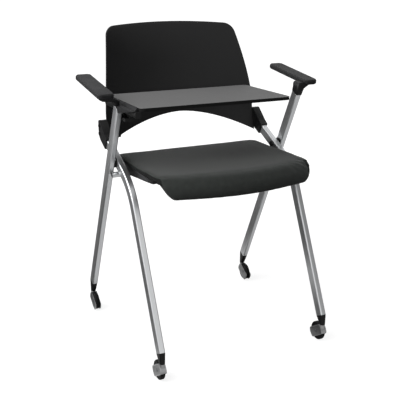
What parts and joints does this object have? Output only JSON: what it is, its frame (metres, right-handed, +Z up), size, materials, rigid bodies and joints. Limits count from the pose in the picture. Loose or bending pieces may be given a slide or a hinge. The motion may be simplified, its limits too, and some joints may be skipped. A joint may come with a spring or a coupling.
{
  "type": "nesting chair",
  "caption": "Nesting chair on swivel casters with crossed side frames, tip-up padded seat, moulded back shell, armrests and a folding writing tablet.",
  "frame": {"origin": "on the floor, midway between the front and rear caster stems and midway between the side frames", "axes": "+X to the right as seen from the front, +Y to the back of the chair, +Z up"},
  "size_m": [0.592, 0.4782, 0.792],
  "materials": {
    "tube": "satin silver powder coat",
    "black_plastic": "fine moulded texture",
    "shell": "semi-gloss moulding",
    "pad": "soft-touch moulding",
    "upholstery": "smooth close-woven cover",
    "board": "fine-grained laminate",
    "housing": "fine moulded texture",
    "hood": "smooth moulding",
    "tread": "soft tread",
    "rubber": "soft buffer",
    "fastener": "zinc plated"
  },
  "bodies": {
    "frame": {"rear_leg_left": "tube", "rear_leg_right": "tube", "front_leg_left": "tube", "front_leg_right": "tube", "cross_rail": "tube", "seat_stop_left": "tube", "seat_stop_right": "tube", "crossing_spacers": "black_plastic", "crossing_bolts": "fastener", "crossing_rivet_nuts": "fastener", "leg_plug_front_left": "black_plastic", "leg_plug_front_right": "black_plastic", "leg_plug_rear_left": "black_plastic", "leg_plug_rear_right": "black_plastic", "seat_bumpers": "rubber", "back_shell": "shell", "back_sleeve_left": "black_plastic", "back_sleeve_right": "black_plastic", "back_screws": "fastener", "arm_pad_left": "pad", "arm_pad_right": "pad", "arm_neck_left": "black_plastic", "arm_neck_right": "black_plastic", "arm_screws": "fastener", "tablet_pin": "fastener", "tablet_bracket": "black_plastic", "tablet_bracket_screws": "fastener"},
    "seat": {"seat_cushion": "upholstery", "seat_pan": "black_plastic", "seat_hinge_left": "black_plastic", "seat_hinge_right": "black_plastic", "seat_hinge_screws": "fastener"},
    "tablet": {"tablet_top": "board", "tablet_carrier": "housing", "tablet_hub_cap": "black_plastic", "tablet_screws": "fastener"},
    "caster_front_left": {"caster_stem_front_left": "fastener", "caster_hood_front_left": "hood", "caster_axle_front_left": "fastener"},
    "caster_front_right": {"caster_stem_front_right": "fastener", "caster_hood_front_right": "hood", "caster_axle_front_right": "fastener"},
    "caster_rear_left": {"caster_stem_rear_left": "fastener", "caster_hood_rear_left": "hood", "caster_axle_rear_left": "fastener"},
    "caster_rear_right": {"caster_stem_rear_right": "fastener", "caster_hood_rear_right": "hood", "caster_axle_rear_right": "fastener"},
    "wheel_front_left": {"wheel_hub_front_left": "black_plastic", "tyre_front_left": "tread"},
    "wheel_front_right": {"wheel_hub_front_right": "black_plastic", "tyre_front_right": "tread"},
    "wheel_rear_left": {"wheel_hub_rear_left": "black_plastic", "tyre_rear_left": "tread"},
    "wheel_rear_right": {"wheel_hub_rear_right": "black_plastic", "tyre_rear_right": "tread"}
  },
  "joints": [
    {"name": "seat_tip", "type": "hinge", "parent": "frame", "child": "seat", "pos_m": [0, 0.02512, 0.44104], "axis": [-1, 0, 0], "range_deg": [0, 80]},
    {"name": "tablet_flip", "type": "hinge", "parent": "frame", "child": "tablet", "pos_m": [-0.2195, -0.05002, 0.61247], "axis": [0, -1, 0], "range_deg": [0, 85]},
    {"name": "swivel_front_left", "type": "hinge", "parent": "frame", "child": "caster_front_left", "pos_m": [-0.2245, -0.23, 0.055], "axis": [0, 0, 1], "continuous": true},
    {"name": "roll_front_left", "type": "hinge", "parent": "caster_front_left", "child": "wheel_front_left", "pos_m": [-0.2245, -0.213, 0.024], "axis": [1, 0, 0], "continuous": true},
    {"name": "swivel_front_right", "type": "hinge", "parent": "frame", "child": "caster_front_right", "pos_m": [0.2245, -0.23, 0.055], "axis": [0, 0, 1], "continuous": true},
    {"name": "roll_front_right", "type": "hinge", "parent": "caster_front_right", "child": "wheel_front_right", "pos_m": [0.2245, -0.213, 0.024], "axis": [1, 0, 0], "continuous": true},
    {"name": "swivel_rear_left", "type": "hinge", "parent": "frame", "child": "caster_rear_left", "pos_m": [-0.2435, 0.23, 0.055], "axis": [0, 0, 1], "continuous": true},
    {"name": "roll_rear_left", "type": "hinge", "parent": "caster_rear_left", "child": "wheel_rear_left", "pos_m": [-0.2435, 0.213, 0.024], "axis": [1, 0, 0], "continuous": true},
    {"name": "swivel_rear_right", "type": "hinge", "parent": "frame", "child": "caster_rear_right", "pos_m": [0.2435, 0.23, 0.055], "axis": [0, 0, 1], "continuous": true},
    {"name": "roll_rear_right", "type": "hinge", "parent": "caster_rear_right", "child": "wheel_rear_right", "pos_m": [0.2435, 0.213, 0.024], "axis": [1, 0, 0], "continuous": true}
  ],
  "couplings": [
    {"joint": "tablet_flip", "follows": "seat_tip", "ratio": 1.0625}
  ]
}
